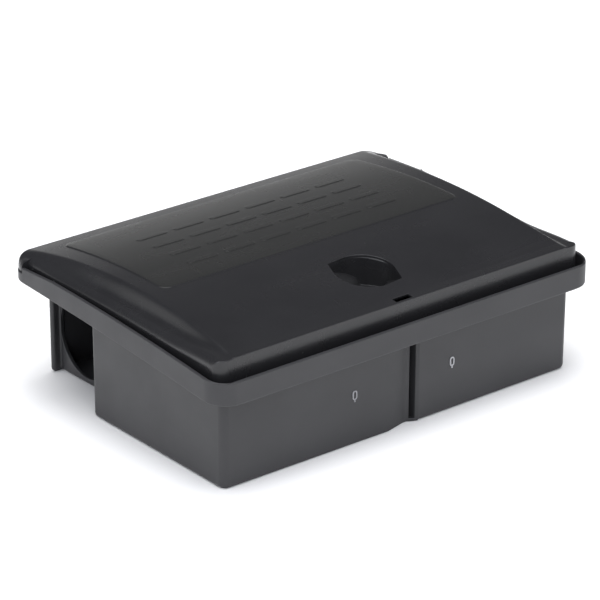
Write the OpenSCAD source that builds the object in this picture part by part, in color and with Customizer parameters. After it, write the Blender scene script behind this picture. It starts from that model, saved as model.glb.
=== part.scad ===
// Lockable rodent bait station: a tub with two side entrances and a run-through
// tunnel along its back, a hinged crowned lid with a keyed spring latch, a drop-in
// baffle and two lift-out bait trays with steel bait rods.
// Lengths along the depth are measured from a plane 10 mm behind the rim's front
// face and shifted to the origin, which is the middle of the underside.

/* [Tub] */
// Width over the rim
rim_w = 240; // [230:1:260]
// Depth over the rim, front to back
rim_d = 172; // [168:1:180]
// How far the rim stands out from the front and side walls
rim_out = 9; // [8.5:0.5:10]
// Wall thickness of the tub
wall = 2; // [1.8:0.1:2.4]
// Height of the rim's lower edge at the front
rim_low_front = 47.7; // [45:0.1:50]
// Height of the rim's lower edge at the back
rim_low_back = 59.4; // [58:0.1:60]
// Height of the rim's upper edge at the front
rim_top_front = 59.5; // [58:0.1:61]
// Height of the rim's upper edge at the back
rim_top_back = 68.6; // [68:0.1:69]
// Depth of the step where the sides are set in
step_y = 106; // [103:1:107]
// How far the side walls are set in behind the step
step_in = 18.8; // [17:0.1:20]
// Radius of the entrance holes
entrance_r = 21.9; // [20:0.1:21.9]

/* [Lid] */
// Width over the lid skirt
lid_w = 231; // [229:1:232]
// Thickness of the lid
lid_wall = 1.8; // [1.6:0.1:2]
// Height of the crown at its front edge
crown_front = 68.5; // [68:0.1:69]
// Height of the crown at its back edge
crown_back = 70.8; // [70.5:0.1:71.5]
// Rise of the crown over a straight line from front to back
crown_rise = 7.65; // [6:0.05:8]
// How far the lid opens, in degrees
lid_open = 105; // [90:5:105]

/* [Bait tray] */
// Outer width of a bait tray
tray_w = 94; // [86:1:94]
// Outer depth of a bait tray
tray_d = 60; // [54:1:64]
// Height of a bait tray
tray_h = 24; // [22:1:26]
// Radius of the steel bait rods
rod_r = 1.25; // [1:0.05:1.5]

/* [Latch and hinge] */
// Travel of the latch slider
latch_travel = 5.2; // [5:0.1:5.4]
// Radius of the hinge pins
pin_r = 1; // [0.8:0.1:1.2]
// Distance of each hinge from the middle
hinge_x = 60; // [45:1:70]

/* [Hidden] */
$fn = 64;

fine = 720;             // segments of the very large arcs
tall = 90;              // taller than the whole station
eps = 0.5;              // overlap of solids that are joined
gap = 0.3;              // clearance between pieces that move apart

body_w = rim_w - 2 * rim_out;
rim_front = -10;                        // front face of the rim
front_y = rim_front + rim_out;          // outer face of the front wall
rim_back = rim_front + rim_d;           // back face of the rim and of the back wall
body_corner = 4;
rim_corner = 12;
rim_wall = 1.8;
channel_corner = 8.6;                   // inside corner of the rim
rim_low_rise = 1.25;                    // arch of the rim's lower edge
rim_top_rise = 2.3;                     // arch of the rim's upper edge
dip_y = 124;                            // the upper edge falls behind this depth
dip_z = 68.15;
dip_turn = 2.4;
inset_half = body_w / 2 - step_in;      // outer face of the set-in side walls
back_wall = 3.3;
back_half = inset_half + 4.7;           // the back wall stands out past the set-in walls
back_in = rim_back - back_wall;         // inner face of the back wall
entrance_y = back_in - entrance_r - 0.2;
entrance_z = entrance_r + wall + 1.8;

front_mid = 1;                          // middle of the front groove and the marks
groove_half = 9.9;                      // front groove, at the wall's face
groove_floor_from = 2.1;                // the left side slopes gently down to this point
groove_floor_to = 4.7;
groove_depth = 2.9;
slit_in = 5.7;                          // deep slit along the groove's right side
slit_out = 8.3;
slit_depth = 7;
slit_floor = 1.6;
post_half = 11;                         // post behind the groove that carries the catch
post_back = 9;
catch_half = 8;
catch_back = 14;
catch_z = 48;
catch_t = 2.5;
mark_x = 31.3;                          // small oval ring marks, from that middle
mark_z = 26.4;
mark_w = 2.3;
mark_h = 4.9;
mark_line = 0.6;
mark_t = 0.3;

hinge_y = rim_back + 1.2;
hinge_z = 66.5;
knuckle_r = 2.4;
knuckle_w = 12;                         // lid knuckle
ear_w = 6;                              // tub ears on both sides of it
ear_gap = 0.4;
relief_y = 150.5;                       // the rim is lowered behind this depth
relief_z = 64.2;
notch_z = hinge_z - knuckle_r - 0.4;

screw_x = 70;                           // floor screw holes
screw_y = 132;
screw_hole_r = 2.25;

rail_t = 2;                             // rails that hold the baffle
rail_w = 3.2;
baffle_t = 2.2;
baffle_y = step_y + rail_t + 0.7;       // front face of the baffle
baffle_top = 57;
door_x = 45;
door_w = 46;
door_h = 42;

lid_front = -3.3;
lid_back = rim_back - rim_wall - gap;
lid_corner = 6;
flare_half = rim_w / 2 - 0.4;           // rear corners flare out over the lowered rim
flare_in = 84;
flare_front = relief_y + 0.5;
flare_back = rim_back - 0.2;
flare_low = relief_z + 0.6;
lip_low = hinge_z + knuckle_r + 0.1;    // lip of the lid over the hinges
skirt_lift = 0.4;                       // gap between the skirt and the rim's flange
shoulder_front = 65.8;
shoulder_back = 69.8;
shoulder_rise = 1.3;
crease_in = 10.6;                       // crease of the crown, in from the lid's side
foot_in = 7.4;                          // foot of the crown's end slope
end_drop = 8.3;                         // height of the end slope
panel_half = 94.7;                      // plain raised panel on the crown's back half
panel_front = 66;
panel_back = 151.4;
panel_corner = 5;
panel_t = 0.75;
slot_half = 5.5;                        // core slot at the lid's front edge
slot_front = -2.6;
slot_back = 2.2;

well_y = 27.5;                          // key well
well_z = 59;
well_r = 18.07;                         // two arcs of this radius form the eye shape
well_shift = 2.47;
well_turn = 38.3;                       // turn of the eye's short axis
well_wall = 1.7;
key_hole_r = 6;
ramp_reach = 6;                         // where the ramps reach the well's floor
ramp_len = 12.5;
ramp_rise = 11;
ramp_step = 2.5;                        // drop at the inner end of each ramp

slider_half = 8;
slider_low = 51.6;
slider_top = 56.8;
slider_back = 50;
slider_leg_front = 14.6;
slider_leg_back = 18.4;
nose_front = 9.7;
nose_low = 42.9;
nose_top = catch_z - gap;
peg_r = 1;
peg_len = 3;

housing_front = 24.2;
housing_back = 68;
housing_low = 49.4;
housing_wall = 2;
flange_front = 51;
flange_back = 63;
flange_half = 24;
boss_x = 17.5;
boss_y = 57;
boss_r = 3.6;
screw_r = 1.4;
screw_head_r = 2.9;
screw_len = 11;

spring_axis_z = (slider_low + slider_top) / 2;
spring_r = 1.75;
wire_r = 0.35;
spring_turns = 7;
spring_steps = 14;                      // rings per turn
spring_sides = 8;
spring_front = slider_back + 0.4;
spring_back = housing_back - housing_wall - 0.4;

tray_wall = 1.6;
tray_corner = 5;
tray_x = body_w / 2 - wall - 1.5 - tray_w / 2;
tray_y = wall + 2 + tray_d / 2;
tray_low = wall + 0.2;
lip = 1.4;
rib_x = 33;
rib_t = 2;
rod_y = 13;                             // rods, from the tray's middle line
rod_z = 14;                             // rod axis above the tray's underside
rod_half = 38;
rod_bend = 3;
rod_handle = 10;

y_min = rim_front;
y_max = hinge_y + knuckle_r;
mid_y = (y_min + y_max) / 2;            // depth of the part's origin

// ---- helpers ----

// Moves a piece from the drawing frame to the part's origin.
module place() {
    translate([0, -mid_y, 0]) children();
}

// Radius of an arc over a chord of length c with a rise s.
function arc_r(c, s) = (c * c / 4 + s * s) / (2 * s);

// Centre of the arc through points a and b that rises by s over their chord.
function arc_mid(a, b, s) =
    let (d = b - a, c = norm(d), n = [-d[1], d[0]] / c)
    (a + b) / 2 - n * (arc_r(c, s) - s);

// Everything under an arc that runs front to back, across a width w.
module under_arc(a, b, s, w) {
    rotate([90, 0, 90])
        translate([0, 0, -w / 2])
            linear_extrude(w)
                intersection() {
                    translate(arc_mid(a, b, s)) circle(arc_r(norm(b - a), s), $fn = fine);
                    translate([a[0], 0]) square([b[0] - a[0], tall]);
                }
}

// Rectangle with round corners, from true arcs.
module round_rect(w, y0, y1, r) {
    translate([-w / 2 + r, y0]) square([w - 2 * r, y1 - y0]);
    translate([-w / 2, y0 + r]) square([w, y1 - y0 - 2 * r]);
    for (x = [-w / 2 + r, w / 2 - r], y = [y0 + r, y1 - r])
        translate([x, y]) circle(r);
}

// Bar with full round ends, along the width.
module stadium(w, y0, y1) {
    r = (y1 - y0) / 2;
    translate([-w / 2 + r, y0]) square([w - 2 * r, 2 * r]);
    for (x = [-w / 2 + r, w / 2 - r])
        translate([x, y0 + r]) circle(r);
}

// Upright slot outline, along the depth or height.
module upright_stadium(w, y0, y1) {
    r = w / 2;
    translate([-r, y0 + r]) square([w, y1 - y0 - w]);
    for (y = [y0 + r, y1 - r])
        translate([0, y]) circle(r);
}

// Block between two corners, symmetric about the middle plane.
module mid_box(half, y0, y1, z0, z1) {
    translate([-half, y0, z0]) cube([2 * half, y1 - y0, z1 - z0]);
}

// Cylinder along the width, centred on x.
module x_rod(r, len, x, y, z) {
    translate([x - len / 2, y, z]) rotate([0, 90, 0]) cylinder(r = r, h = len);
}

// ---- tub ----

module body_plan() {
    round_rect(body_w, front_y, step_y, body_corner);
    translate([-inset_half, step_y - eps]) square([2 * inset_half, rim_back - step_y + eps]);
    stadium(2 * back_half, back_in, rim_back);
}

module body_hollow_plan() {
    round_rect(body_w - 2 * wall, front_y + wall, step_y - wall, body_corner - 1);
    translate([-inset_half + wall, step_y - wall - eps])
        square([2 * (inset_half - wall), back_in - step_y + wall + eps]);
}

module rim_low_fill(lift) {
    under_arc([rim_front - 1, rim_low_front + lift], [rim_back + 1, rim_low_back + lift],
              rim_low_rise, rim_w + 2);
}

module rim_top_fill() {
    under_arc([rim_front - 1, rim_top_front], [rim_back + 1, rim_top_back],
              rim_top_rise, rim_w + 2);
}

module tub_blank() {
    intersection() {
        linear_extrude(tall) body_plan();
        rim_low_fill(eps);
    }
    difference() {
        intersection() {
            linear_extrude(tall) round_rect(rim_w, rim_front, rim_back, rim_corner);
            rim_top_fill();
        }
        rim_low_fill(0);
    }
}

module rim_channel() {
    difference() {
        translate([0, 0, wall])
            linear_extrude(tall)
                round_rect(rim_w - 2 * rim_wall, rim_front + rim_wall, rim_back - rim_wall,
                           channel_corner);
        rim_low_fill(wall);
    }
}

module groove_cut() {
    translate([front_mid, front_y, -1])
        linear_extrude(rim_low_front + 1)
            polygon([[-groove_half, -1], [-groove_half, 0], [groove_floor_from, groove_depth],
                     [groove_floor_to, groove_depth], [groove_half, 0], [groove_half, -1]]);
    translate([front_mid + slit_in, front_y - 1, slit_floor])
        cube([slit_out - slit_in, slit_depth + 1, rim_low_front - slit_floor]);
}

module front_post() {
    mid_box(post_half, front_y + wall - eps, post_back, wall - eps, catch_z + catch_t);
    mid_box(catch_half, post_back - eps, catch_back, catch_z, catch_z + catch_t);
}

module ring_mark(x) {
    translate([x, front_y, mark_z]) rotate([90, 0, 0])
        translate([0, 0, -eps])
            linear_extrude(eps + mark_t)
                difference() {
                    upright_stadium(mark_w, -mark_h / 2, mark_h / 2);
                    upright_stadium(mark_w - 2 * mark_line, mark_line - mark_h / 2,
                                    mark_h / 2 - mark_line);
                }
}

module hinge_ears(x) {
    for (side = [-1, 1]) {
        ear_x = x + side * (knuckle_w / 2 + ear_gap + ear_w / 2);
        x_rod(knuckle_r, ear_w, ear_x, hinge_y, hinge_z);
        translate([ear_x - ear_w / 2, rim_back - rim_wall, rim_low_back])
            cube([ear_w, hinge_y + 1.6 - rim_back + rim_wall, hinge_z - rim_low_back]);
    }
}

module baffle_rails() {
    for (side = [-1, 1], y = [baffle_y - rail_t - 0.2, baffle_y + baffle_t + 0.2])
        translate([side * (inset_half - wall - rail_w / 2), y + rail_t / 2, tall / 4 + wall / 2])
            cube([rail_w + 2 * eps, rail_t, tall / 2 - wall], center = true);
}

module base_tub() {
    color([0.22, 0.22, 0.235]) place() {
        difference() {
            union() {
                difference() {
                    tub_blank();
                    translate([0, 0, wall]) linear_extrude(tall) body_hollow_plan();
                    rim_channel();
                    mid_box(rim_w, relief_y, rim_back + 1, relief_z, tall);
                    translate([0, dip_y, dip_z]) rotate([-dip_turn, 0, 0])
                        mid_box(rim_w, 0, 60, 0, 20);
                }
                front_post();
                baffle_rails();
                hinge_ears(-hinge_x);
                hinge_ears(hinge_x);
                ring_mark(front_mid - mark_x);
                ring_mark(front_mid + mark_x);
            }
            groove_cut();
            for (side = [-1, 1]) {
                x_rod(entrance_r, 3 * wall, side * (inset_half - wall / 2), entrance_y, entrance_z);
                x_rod(pin_r, knuckle_w + 3 * ear_w, side * hinge_x, hinge_y, hinge_z);
                translate([side * hinge_x - knuckle_w / 2 - ear_gap, back_in - 1, notch_z])
                    cube([knuckle_w + 2 * ear_gap, back_wall + 6, tall]);
                translate([side * screw_x, screw_y, -1]) cylinder(r = screw_hole_r, h = wall + 2);
            }
        }
    }
}

// ---- baffle ----

module baffle_plate() {
    color([0.24, 0.24, 0.25]) place()
        translate([0, baffle_y + baffle_t, 0]) rotate([90, 0, 0])
            linear_extrude(baffle_t)
                difference() {
                    round_rect(2 * (inset_half - wall - gap), wall, baffle_top, 3);
                    for (side = [-1, 1]) {
                        translate([side * door_x - door_w / 2, wall - 1])
                            square([door_w, door_h - door_w / 2 + 1]);
                        translate([side * door_x, wall + door_h - door_w / 2])
                            circle(door_w / 2);
                    }
                }
}

// ---- lid ----

crown_a = [lid_front, crown_front];
crown_b = [lid_back, crown_back];
crown_r = arc_r(norm(crown_b - crown_a), crown_rise);
crown_mid = arc_mid(crown_a, crown_b, crown_rise);

// Outlines of the two flared rear corners.
module flare_plan() {
    intersection() {
        round_rect(2 * flare_half, rim_front + 0.4, flare_back, rim_corner - 0.4);
        for (side = [-1, 1])
            translate([side * (flare_in + flare_half) / 2 - (flare_half - flare_in) / 2, flare_front])
                square([flare_half - flare_in, flare_back - flare_front]);
    }
}

// Crown with sloping ends, a turned solid about an axis along the width.
module crown(shrink, end_shrink, limit) {
    half = lid_w / 2 - crease_in - end_shrink;
    foot = lid_w / 2 - foot_in - end_shrink;
    r = crown_r - shrink;
    slope_r = r - end_drop * 1.6;
    slope_x = half + (foot - half) * 1.6;
    translate([0, crown_mid[0], crown_mid[1]]) rotate([0, 90, 0])
        rotate_extrude($fn = fine)
            polygon([[limit, -slope_x], [slope_r, -slope_x], [r, -half],
                     [r, half], [slope_r, slope_x], [limit, slope_x]]);
}

module shoulder_fill(lower) {
    under_arc([lid_front - 1, shoulder_front - lower], [rim_back + 1, shoulder_back - lower],
              shoulder_rise, rim_w + 2);
}

module lid_blank() {
    difference() {
        intersection() {
            union() {
                linear_extrude(tall) round_rect(lid_w, lid_front, lid_back, lid_corner);
                translate([0, 0, flare_low]) linear_extrude(tall) flare_plan();
                mid_box(flare_in + eps, lid_back - eps, flare_back, lip_low, tall);
            }
            union() {
                shoulder_fill(0);
                crown(0, 0, crown_r - 40);
            }
        }
        rim_low_fill(wall + skirt_lift);
    }
}

module lid_hollow() {
    intersection() {
        linear_extrude(tall)
            round_rect(lid_w - 2 * lid_wall, lid_front + lid_wall, lid_back - lid_wall,
                       lid_corner - lid_wall);
        union() {
            shoulder_fill(lid_wall);
            crown(lid_wall, lid_wall, crown_r - 60);
        }
    }
}

module lid_panel() {
    intersection() {
        translate([0, 0, crown_back - 6])
            linear_extrude(20) round_rect(2 * panel_half, panel_front, panel_back, panel_corner);
        translate([0, crown_mid[0], crown_mid[1]]) rotate([0, 90, 0])
            difference() {
                cylinder(r = crown_r + panel_t, h = 2 * panel_half + 2, center = true, $fn = fine);
                cylinder(r = crown_r - 1, h = 2 * panel_half + 4, center = true, $fn = fine);
            }
    }
}

// Eye-shaped outline: two equal arcs that meet in a tip at each end.
module well_plan(grow) {
    translate([0, well_y]) rotate(well_turn)
        intersection() {
            translate([-well_shift, 0]) circle(well_r + grow, $fn = 96);
            translate([well_shift, 0]) circle(well_r + grow, $fn = 96);
        }
}

// Sloping floor at each tip of the eye.
module well_ramps() {
    translate([0, well_y, well_z]) rotate([0, 0, well_turn + 90])
        for (side = [-1, 1])
            scale([side, 1, 1]) rotate([90, 0, 0])
                translate([0, 0, -12])
                    linear_extrude(24)
                        polygon([[ramp_reach, -1], [ramp_reach, ramp_step],
                                 [ramp_reach + ramp_len, ramp_rise],
                                 [ramp_reach + ramp_len, -1]]);
}

module lid_bosses() {
    intersection() {
        for (side = [-1, 1])
            translate([side * boss_x, boss_y, housing_low + housing_wall])
                cylinder(r = boss_r, h = 30);
        crown(0.5, 0.5, crown_r - 60);
    }
}

module lid_knuckles() {
    for (side = [-1, 1]) {
        x_rod(knuckle_r, knuckle_w, side * hinge_x, hinge_y, hinge_z);
        translate([side * hinge_x - knuckle_w / 2, lid_back - lid_wall, hinge_z + 0.3])
            cube([knuckle_w, hinge_y - lid_back + lid_wall, knuckle_r - 0.3]);
    }
}

module lid() {
    color([0.13, 0.13, 0.14]) place()
        difference() {
            union() {
                difference() {
                    lid_blank();
                    lid_hollow();
                }
                lid_panel();
                intersection() {
                    translate([0, 0, well_z - well_wall]) linear_extrude(30) well_plan(well_wall);
                    crown(0.5, 0.5, crown_r - 60);
                }
                lid_bosses();
                lid_knuckles();
            }
            difference() {
                translate([0, 0, well_z]) linear_extrude(30) well_plan(0);
                well_ramps();
            }
            translate([0, well_y, well_z - 5]) cylinder(r = key_hole_r, h = 6);
            mid_box(slot_half, slot_front, slot_back, shoulder_front - lid_wall - 2, tall);
            for (side = [-1, 1]) {
                x_rod(pin_r + 0.06, knuckle_w + 2, side * hinge_x, hinge_y, hinge_z);
                translate([side * boss_x, boss_y, 0])
                    cylinder(r = screw_r, h = housing_low + screw_len + 1);
            }
        }
}

// ---- hinge pins ----

module hinge_pin(x) {
    color([0.72, 0.73, 0.75]) place()
        x_rod(pin_r, knuckle_w + 2 * ear_gap + 2 * ear_w, x, hinge_y, hinge_z);
}

module hinge_pin_left() {
    hinge_pin(-hinge_x);
}

module hinge_pin_right() {
    hinge_pin(hinge_x);
}

// ---- latch ----

module latch_slider() {
    color([0.3, 0.3, 0.31]) place() {
        difference() {
            union() {
                mid_box(slider_half, slider_leg_front, slider_back, slider_low, slider_top);
                mid_box(slider_half, slider_leg_front, slider_leg_back, nose_low, slider_top);
                mid_box(slider_half, nose_front, slider_leg_back, nose_low, nose_top);
            }
            // bevel under the nose, so that the lid snaps shut
            translate([0, nose_front, nose_low]) rotate([45, 0, 0])
                cube([3 * slider_half, 3.4, 3.4], center = true);
            // pocket that the key's wedge enters
            mid_box(4, well_y - 3.5, well_y + 4.5, slider_low - 1, slider_top + 1);
        }
        translate([0, slider_back - 1, spring_axis_z]) rotate([-90, 0, 0])
            cylinder(r = peg_r, h = peg_len + 1);
    }
}

// Wire of the compression spring, swept along a helix.
function spring_point(i, j) =
    let (turn = 360 * i / spring_steps,
         a = 360 * j / spring_sides,
         rr = spring_r + wire_r * cos(a),
         run = spring_back - spring_front - 2 * wire_r,
         y = spring_front + wire_r + run * i / (spring_turns * spring_steps))
    [rr * cos(turn), y + wire_r * sin(a), spring_axis_z + rr * sin(turn)];

module latch_spring() {
    rings = spring_turns * spring_steps;
    n = spring_sides;
    color([0.7, 0.71, 0.73]) place()
        polyhedron(
            points = [for (i = [0:rings], j = [0:n - 1]) spring_point(i, j)],
            faces = concat(
                [[for (j = [n - 1:-1:0]) j]],
                [for (i = [0:rings - 1], j = [0:n - 1])
                    [i * n + j, i * n + (j + 1) % n, (i + 1) * n + (j + 1) % n, (i + 1) * n + j]],
                [[for (j = [0:n - 1]) rings * n + j]]));
}

module latch_housing() {
    half = slider_half + gap;
    color([0.26, 0.26, 0.27]) place()
        difference() {
            union() {
                mid_box(half + housing_wall, housing_front, housing_back,
                        housing_low, slider_top);
                mid_box(flange_half, flange_front, flange_back,
                        housing_low, housing_low + housing_wall);
            }
            mid_box(half, housing_front - 1, housing_back - housing_wall,
                    slider_low - 0.2, slider_top + 1);
            for (side = [-1, 1])
                translate([side * boss_x, boss_y, 0])
                    cylinder(r = screw_r + 0.2, h = tall);
        }
}

module latch_screw(side) {
    color([0.75, 0.76, 0.78]) place()
        translate([side * boss_x, boss_y, housing_low]) {
            cylinder(r = screw_r, h = screw_len);
            difference() {
                translate([0, 0, -1.8]) cylinder(r1 = screw_head_r - 0.5, r2 = screw_head_r, h = 1.8);
                for (turn = [0, 90])
                    rotate([0, 0, turn]) translate([0, 0, -1.8]) cube([0.7, 3.2, 1.8], center = true);
            }
        }
}

module latch_screw_left() {
    latch_screw(-1);
}

module latch_screw_right() {
    latch_screw(1);
}

// ---- bait trays and rods ----

module tray_shape() {
    difference() {
        union() {
            linear_extrude(tray_h)
                round_rect(tray_w - 2 * lip, -tray_d / 2 + lip, tray_d / 2 - lip, tray_corner - lip);
            translate([0, 0, tray_h - tray_wall])
                linear_extrude(tray_wall) round_rect(tray_w, -tray_d / 2, tray_d / 2, tray_corner);
        }
        translate([0, 0, tray_wall])
            linear_extrude(tray_h)
                round_rect(tray_w - 2 * (lip + tray_wall), -tray_d / 2 + lip + tray_wall,
                           tray_d / 2 - lip - tray_wall, 2);
    }
    for (x = [-rib_x, rib_x])
        difference() {
            translate([x - rib_t / 2, -tray_d / 2 + lip + 1, tray_wall - eps])
                cube([rib_t, tray_d - 2 * lip - 2, rod_z + 4 - tray_wall + eps]);
            for (y = [-rod_y, rod_y]) {
                x_rod(rod_r + 0.05, 3 * rib_t, x, y, rod_z);
                translate([x - rib_t, y - rod_r + 0.15, rod_z])
                    cube([2 * rib_t, 2 * rod_r - 0.3, 10]);
            }
        }
}

module bait_tray(side) {
    color([0.3, 0.3, 0.32]) place()
        translate([side * tray_x, tray_y, tray_low]) tray_shape();
}

module bait_tray_left() {
    bait_tray(-1);
}

module bait_tray_right() {
    bait_tray(1);
}

// Steel rod with a handle bent up at its outer end.
module bait_rod(side, row) {
    color([0.72, 0.73, 0.75]) place()
        translate([side * tray_x, tray_y + row * rod_y, tray_low + rod_z])
            mirror([side < 0 ? 1 : 0, 0, 0]) {
                x_rod(rod_r, 2 * rod_half, 0, 0, 0);
                translate([rod_half, 0, rod_bend]) rotate([90, 90, 0])
                    rotate_extrude(angle = 90) translate([rod_bend, 0]) circle(rod_r);
                translate([rod_half + rod_bend, 0, rod_bend]) cylinder(r = rod_r, h = rod_handle);
            }
}

module bait_rod_left_front() {
    bait_rod(-1, -1);
}

module bait_rod_left_rear() {
    bait_rod(-1, 1);
}

module bait_rod_right_front() {
    bait_rod(1, -1);
}

module bait_rod_right_rear() {
    bait_rod(1, 1);
}

base_tub();
baffle_plate();
lid();
hinge_pin_left();
hinge_pin_right();
latch_slider();
latch_spring();
latch_housing();
latch_screw_left();
latch_screw_right();
bait_tray_left();
bait_tray_right();
bait_rod_left_front();
bait_rod_left_rear();
bait_rod_right_front();
bait_rod_right_rear();
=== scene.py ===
"""Bait station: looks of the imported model.

Lengths are in millimetres in the drawing frame (depth from a plane 10 mm behind the
rim's front face, width from the middle, height from the underside) and become metres
in the row frame when a mesh is made.
"""
import math

import bmesh
import bpy
import numpy as np
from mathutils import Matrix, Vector


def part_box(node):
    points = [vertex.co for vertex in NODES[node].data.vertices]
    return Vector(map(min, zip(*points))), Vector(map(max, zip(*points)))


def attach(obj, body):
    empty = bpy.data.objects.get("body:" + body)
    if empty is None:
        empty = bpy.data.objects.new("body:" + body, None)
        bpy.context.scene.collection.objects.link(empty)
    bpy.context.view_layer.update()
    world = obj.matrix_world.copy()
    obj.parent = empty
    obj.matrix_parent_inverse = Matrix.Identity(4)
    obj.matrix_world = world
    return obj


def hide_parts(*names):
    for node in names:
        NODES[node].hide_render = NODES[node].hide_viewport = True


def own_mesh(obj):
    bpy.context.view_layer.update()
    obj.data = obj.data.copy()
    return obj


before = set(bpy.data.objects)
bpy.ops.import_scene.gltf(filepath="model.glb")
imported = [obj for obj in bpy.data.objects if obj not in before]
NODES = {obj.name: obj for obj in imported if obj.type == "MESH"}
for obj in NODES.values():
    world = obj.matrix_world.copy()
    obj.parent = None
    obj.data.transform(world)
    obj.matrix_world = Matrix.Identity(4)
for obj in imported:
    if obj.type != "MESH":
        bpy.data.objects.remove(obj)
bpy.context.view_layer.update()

MM = 0.001


def node_box(name):
    """Lowest and highest corner of a CAD node, in mm of the row frame."""
    low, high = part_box(name)
    return np.array(low) / MM, np.array(high) / MM


# ---- sizes ----

TUB_LOW = node_box("base_tub")[0]
LID_LOW, LID_HIGH = node_box("lid")

RIM_FRONT = -10.0
FRONT_Y = -1.0                  # outer face of the front wall
SHIFT_Y = RIM_FRONT - TUB_LOW[1]  # depth of the row frame's origin

WALL = 2.0
RIM_LOW_Z = 47.7
RIM_LOW = ((-11.0, RIM_LOW_Z), (163.0, 59.4), 1.25)  # rim's lower edge: two ends and rise
BODY_HALF = 111.0
STEP_Y = 106.0
FRONT_MID = 1.0
MARK_X = 31.3
MARK_Z = 26.4

LID_HALF = 115.5
LID_FRONT = LID_LOW[1] + SHIFT_Y
LID_BACK = 159.9
LID_CORNER = 6.0
LID_WALL = 1.8
CROWN = ((-3.3, 68.5), (LID_BACK, 70.8), 7.65)
SHOULDER = ((-4.3, 65.8), (163.0, 69.8), 1.3)
SKIRT_LIFT = WALL + 0.4         # the skirt's lower edge runs this far above the rim's
FRONT_EDGE_R = 0.55             # the lid's edge is sharper at the front than at the sides
SIDE_EDGE_R = 4.2
BACK_EDGE_R = 1.2
FLARE_HALF = LID_HIGH[0]        # rear corners flare out over the lowered rim
FLARE_CORNER = 11.6
FLARE_FRONT = 151.0
FLARE_BACK = 161.8
FLARE_LOW = 64.8
FLARE_IN = 84.0
LIP_LOW = 69.0                  # lip over the hinges, between the flares

HINGE_Y = 163.2
HINGE_Z = 66.5
HINGE_X = 60.0
KNUCKLE_R = 2.39
KNUCKLE_W = 12.0
PIN_BORE = 1.06

WELL_Y = 27.5
WELL_Z = 59.0
WELL_R = 16.0                   # a round well, drawn out to a point at each end
WELL_TIP = 18.7
WELL_OFF = (0.8, 1.8)           # outline's centre from the key hole's
GLINT_TURN = math.radians(32.0)  # the wall's bead is fullest in this direction
GLINT_SPREAD = math.radians(18.0)
WELL_TURN = math.radians(38.3)
WELL_WALL = 1.7
KEY_R = 6.0
RAMP_REACH = 6.0                # ramps start this far from the key hole's centre
RAMP_LEN = 12.5
RAMP_STEP = 2.5                 # with a step of this height
RAMP_RISE = 11.0

PANEL_HALF = 94.7
PANEL_Y = (66.0, 151.4)
PANEL_CORNER = 5.0
PANEL_RISE = 0.4


# ---- curves and mesh helpers ----

def arc(ends):
    """Height over depth of a circular arc through two points with a given rise."""
    a, b = np.array(ends[0]), np.array(ends[1])
    chord = b - a
    length = np.hypot(*chord)
    normal = np.array([-chord[1], chord[0]]) / length
    radius = (length ** 2 / 4 + ends[2] ** 2) / (2 * ends[2])
    middle = (a + b) / 2 - normal * (radius - ends[2])
    return lambda y: middle[1] + np.sqrt(radius ** 2 - (np.asarray(y) - middle[0]) ** 2)


crown_z = arc(CROWN)
shoulder_z = arc(SHOULDER)
rim_low_z = arc(RIM_LOW)


def smooth(t):
    """Smooth step from 0 to 1 with level ends."""
    t = np.clip(t, 0.0, 1.0)
    return t * t * t * (t * (6 * t - 15) + 10)


def to_row(points):
    """Drawing frame in mm to row frame in metres."""
    points = np.array(points, float).reshape(-1, 3)
    points[:, 1] -= SHIFT_Y
    return points * MM


def new_object(name, data):
    """New object in the scene."""
    obj = bpy.data.objects.new(name, data)
    bpy.context.scene.collection.objects.link(obj)
    return obj


def piece(name, points, faces, body, material, sharp=35.0, replaces=()):
    """Makes a closed mesh from points in the drawing frame and puts it on a body."""
    mesh = bpy.data.meshes.new(name)
    mesh.from_pydata(to_row(points).tolist(), [], faces)
    return adopt(name, mesh, body, material, sharp, replaces)


def adopt(name, mesh, body, material, sharp=35.0, replaces=()):
    """Makes an object of a mesh in the row frame: normals, shading, finish and body."""
    bm = bmesh.new()
    bm.from_mesh(mesh)
    bmesh.ops.delete(bm, geom=[v for v in bm.verts if not v.link_faces], context="VERTS")
    bmesh.ops.recalc_face_normals(bm, faces=bm.faces)
    bm.to_mesh(mesh)
    bm.free()
    mesh.shade_smooth()
    mesh.set_sharp_from_angle(angle=math.radians(sharp))
    obj = new_object(name, mesh)
    obj.data.materials.clear()
    obj.data.materials.append(material)
    weighted = obj.modifiers.new("Even shading", "WEIGHTED_NORMAL")
    weighted.keep_sharp = True
    weighted.weight = 60
    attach(obj, body)
    for node in replaces:
        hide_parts(node)
    return obj


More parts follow.
